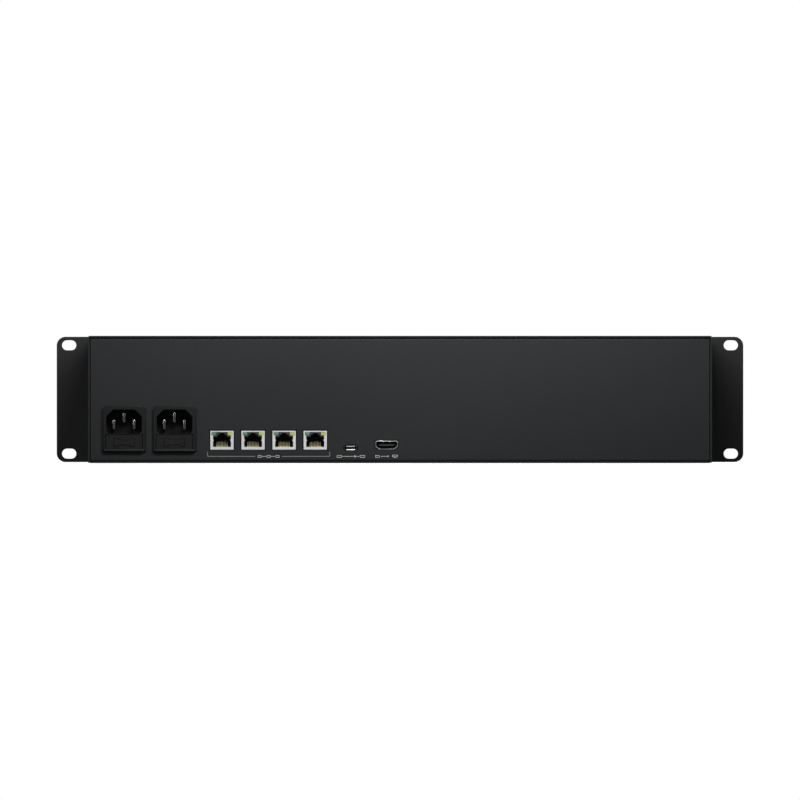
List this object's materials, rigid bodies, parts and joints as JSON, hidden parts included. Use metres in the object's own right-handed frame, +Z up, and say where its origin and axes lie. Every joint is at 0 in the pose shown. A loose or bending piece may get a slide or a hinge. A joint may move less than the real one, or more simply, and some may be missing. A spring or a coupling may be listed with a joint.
{
  "type": "firewall appliance",
  "caption": "Rack-mounted network appliance with mains inlets, fuse drawers, network jacks, USB and HDMI sockets at the back, fans, display and buttons at the front.",
  "frame": {"origin": "centre of the unit's footprint, on the surface it rests on", "axes": "+X to the right when looking at the connectors, +Y from the connectors to the front panel, +Z up"},
  "size_m": [0.4826, 0.4, 0.0881],
  "materials": {
    "powder_coat": "fine dark grey powder coat",
    "satin_black": "satin black anodised look",
    "plated_sheet": "zinc plated sheet",
    "black_screw": "black oxide",
    "nickel": "satin nickel plating",
    "black_plastic": "moulded black plastic",
    "fuse_glass": "clear glass tube with nickel caps",
    "gold_contact": "gold plated spring wire",
    "green_lens": "diffusing green light pipe",
    "yellow_lens": "diffusing yellow light pipe",
    "circuit_board": "green solder mask",
    "supply_board": "tan single-sided board with dark parts",
    "bare_alloy": "bare extruded alloy",
    "black_lead": "black sleeved lead",
    "yellow_lead": "yellow sleeved lead",
    "ribbon": "grey flat cable",
    "button_metal": "turned alloy cap",
    "button_plastic": "matt black keycap",
    "display_glass": "smoked clear window"
  },
  "bodies": {
    "chassis": {"front_panel": "satin_black", "intake_grille": "satin_black", "front_frame": "plated_sheet", "base_tray": "powder_coat", "rear_panel": "powder_coat", "wrap_cover": "powder_coat", "chassis_screws": "black_screw", "panel_screws": "black_screw", "inlet_housing_1": "black_plastic", "inlet_housing_2": "black_plastic", "inlet_pins_1": "nickel", "inlet_pins_2": "nickel", "jack_shield_1": "nickel", "jack_shield_2": "nickel", "jack_shield_3": "nickel", "jack_shield_4": "nickel", "jack_insert_1": "black_plastic", "jack_insert_2": "black_plastic", "jack_insert_3": "black_plastic", "jack_insert_4": "black_plastic", "jack_contacts_1": "gold_contact", "jack_contacts_2": "gold_contact", "jack_contacts_3": "gold_contact", "jack_contacts_4": "gold_contact", "link_lenses": "green_lens", "activity_lenses": "yellow_lens", "usb_shell": "nickel", "usb_tongue": "black_plastic", "hdmi_shell": "nickel", "hdmi_tongue": "black_plastic", "main_board": "circuit_board", "board_standoffs": "plated_sheet", "board_screws": "nickel", "processor": "bare_alloy", "heat_sink": "bare_alloy", "memory_modules": "circuit_board", "switch_heat_sink": "bare_alloy", "psu_case_1": "bare_alloy", "psu_case_2": "bare_alloy", "psu_board_1": "supply_board", "psu_board_2": "supply_board", "mains_leads": "black_lead", "dc_leads": "yellow_lead", "panel_ribbon": "ribbon", "fan_frame_1": "black_plastic", "fan_frame_2": "black_plastic", "fan_screws": "nickel", "display_module": "black_plastic", "display_window": "display_glass", "front_board": "circuit_board"},
    "fuse_drawer_1": {"fuse_drawer_1": "black_plastic", "fuses_1": "fuse_glass"},
    "fuse_drawer_2": {"fuse_drawer_2": "black_plastic", "fuses_2": "fuse_glass"},
    "fan_rotor_1": {"fan_rotor_1": "black_plastic"},
    "fan_rotor_2": {"fan_rotor_2": "black_plastic"},
    "power_button": {"power_button": "button_metal"},
    "menu_button_1": {"menu_button_1": "button_plastic"},
    "menu_button_2": {"menu_button_2": "button_plastic"},
    "menu_button_3": {"menu_button_3": "button_plastic"}
  },
  "joints": [
    {"name": "fuse_drawer_1_pull", "type": "slide", "parent": "chassis", "child": "fuse_drawer_1", "axis": [0, -1, 0], "range_m": [0, 0.015]},
    {"name": "fuse_drawer_2_pull", "type": "slide", "parent": "chassis", "child": "fuse_drawer_2", "axis": [0, -1, 0], "range_m": [0, 0.015]},
    {"name": "fan_1_spin", "type": "hinge", "parent": "chassis", "child": "fan_rotor_1", "pos_m": [-0.146, 0.182, 0.04405], "axis": [0, 1, 0], "continuous": true},
    {"name": "fan_2_spin", "type": "hinge", "parent": "chassis", "child": "fan_rotor_2", "pos_m": [-0.034, 0.182, 0.04405], "axis": [0, 1, 0], "continuous": true},
    {"name": "power_button_press", "type": "slide", "parent": "chassis", "child": "power_button", "axis": [0, -1, 0], "range_m": [0, 0.001], "stiffness_N_per_m": 600},
    {"name": "menu_button_1_press", "type": "slide", "parent": "chassis", "child": "menu_button_1", "axis": [0, -1, 0], "range_m": [0, 0.001], "stiffness_N_per_m": 600},
    {"name": "menu_button_2_press", "type": "slide", "parent": "chassis", "child": "menu_button_2", "axis": [0, -1, 0], "range_m": [0, 0.001], "stiffness_N_per_m": 600},
    {"name": "menu_button_3_press", "type": "slide", "parent": "chassis", "child": "menu_button_3", "axis": [0, -1, 0], "range_m": [0, 0.001], "stiffness_N_per_m": 600}
  ]
}
